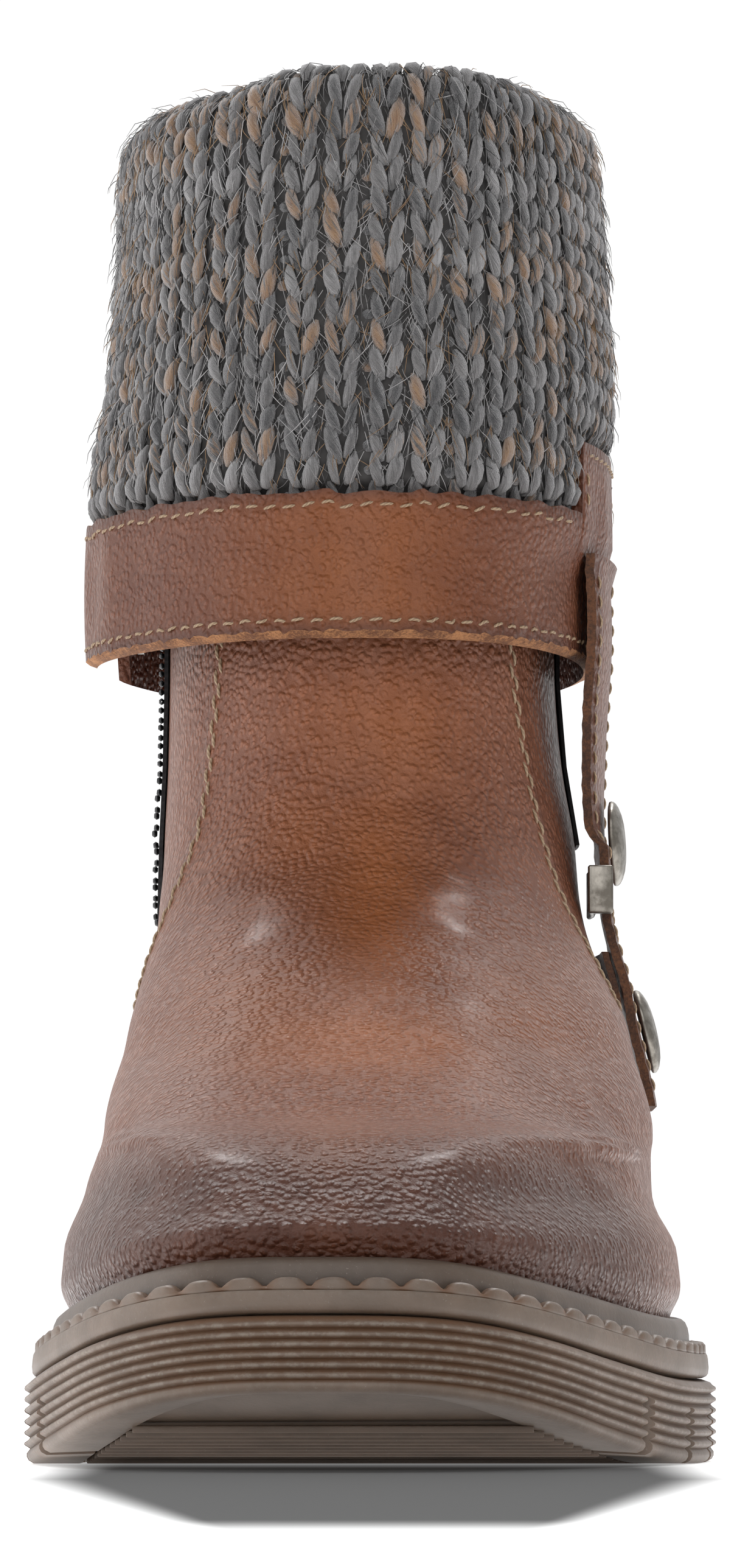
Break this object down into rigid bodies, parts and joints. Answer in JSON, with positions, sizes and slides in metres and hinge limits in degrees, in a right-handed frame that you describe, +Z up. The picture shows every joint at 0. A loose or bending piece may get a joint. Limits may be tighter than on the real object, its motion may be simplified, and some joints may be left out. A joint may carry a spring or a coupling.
{
  "type": "sweater boot",
  "caption": "Ankle boot with a folded knit collar, leather cuff band, side strap and a ribbed rubber sole.",
  "frame": {"origin": "on the ground plane under the middle of the boot's box, sole down", "axes": "+Z up, toe towards -Y, heel towards +Y, outer side of the left foot towards +X"},
  "size_m": [0.1084, 0.28, 0.235],
  "materials": {
    "rubber": "smoky brown, satin",
    "leather": "cognac brown, pebbled, soft sheen",
    "knit": "marled grey and tan wool knit",
    "lining": "dark textile",
    "black_textile": "black woven tape",
    "black_metal": "black teeth",
    "metal": "aged nickel"
  },
  "bodies": {
    "boot": {"outsole": "rubber", "heel": "rubber", "midsole": "rubber", "bead_welt": "rubber", "welt": "rubber", "insole": "lining", "upper": "leather", "elastic_gore": "black_textile", "zip_tape": "black_textile", "zip_teeth": "black_metal", "zip_slider": "metal", "knit_cuff": "knit", "cuff_band": "leather", "side_strap": "leather", "strap_underlay": "leather", "strap_loop": "metal", "rivet_upper": "metal", "rivet_lower": "metal"},
    "pull": {"zip_pull": "metal"}
  },
  "joints": [
    {"name": "pull_swing", "type": "hinge", "parent": "boot", "child": "pull", "pos_m": [-0.04156, 0.068, 0.163], "axis": [0, 1, 0], "range_deg": [0, 130]}
  ]
}
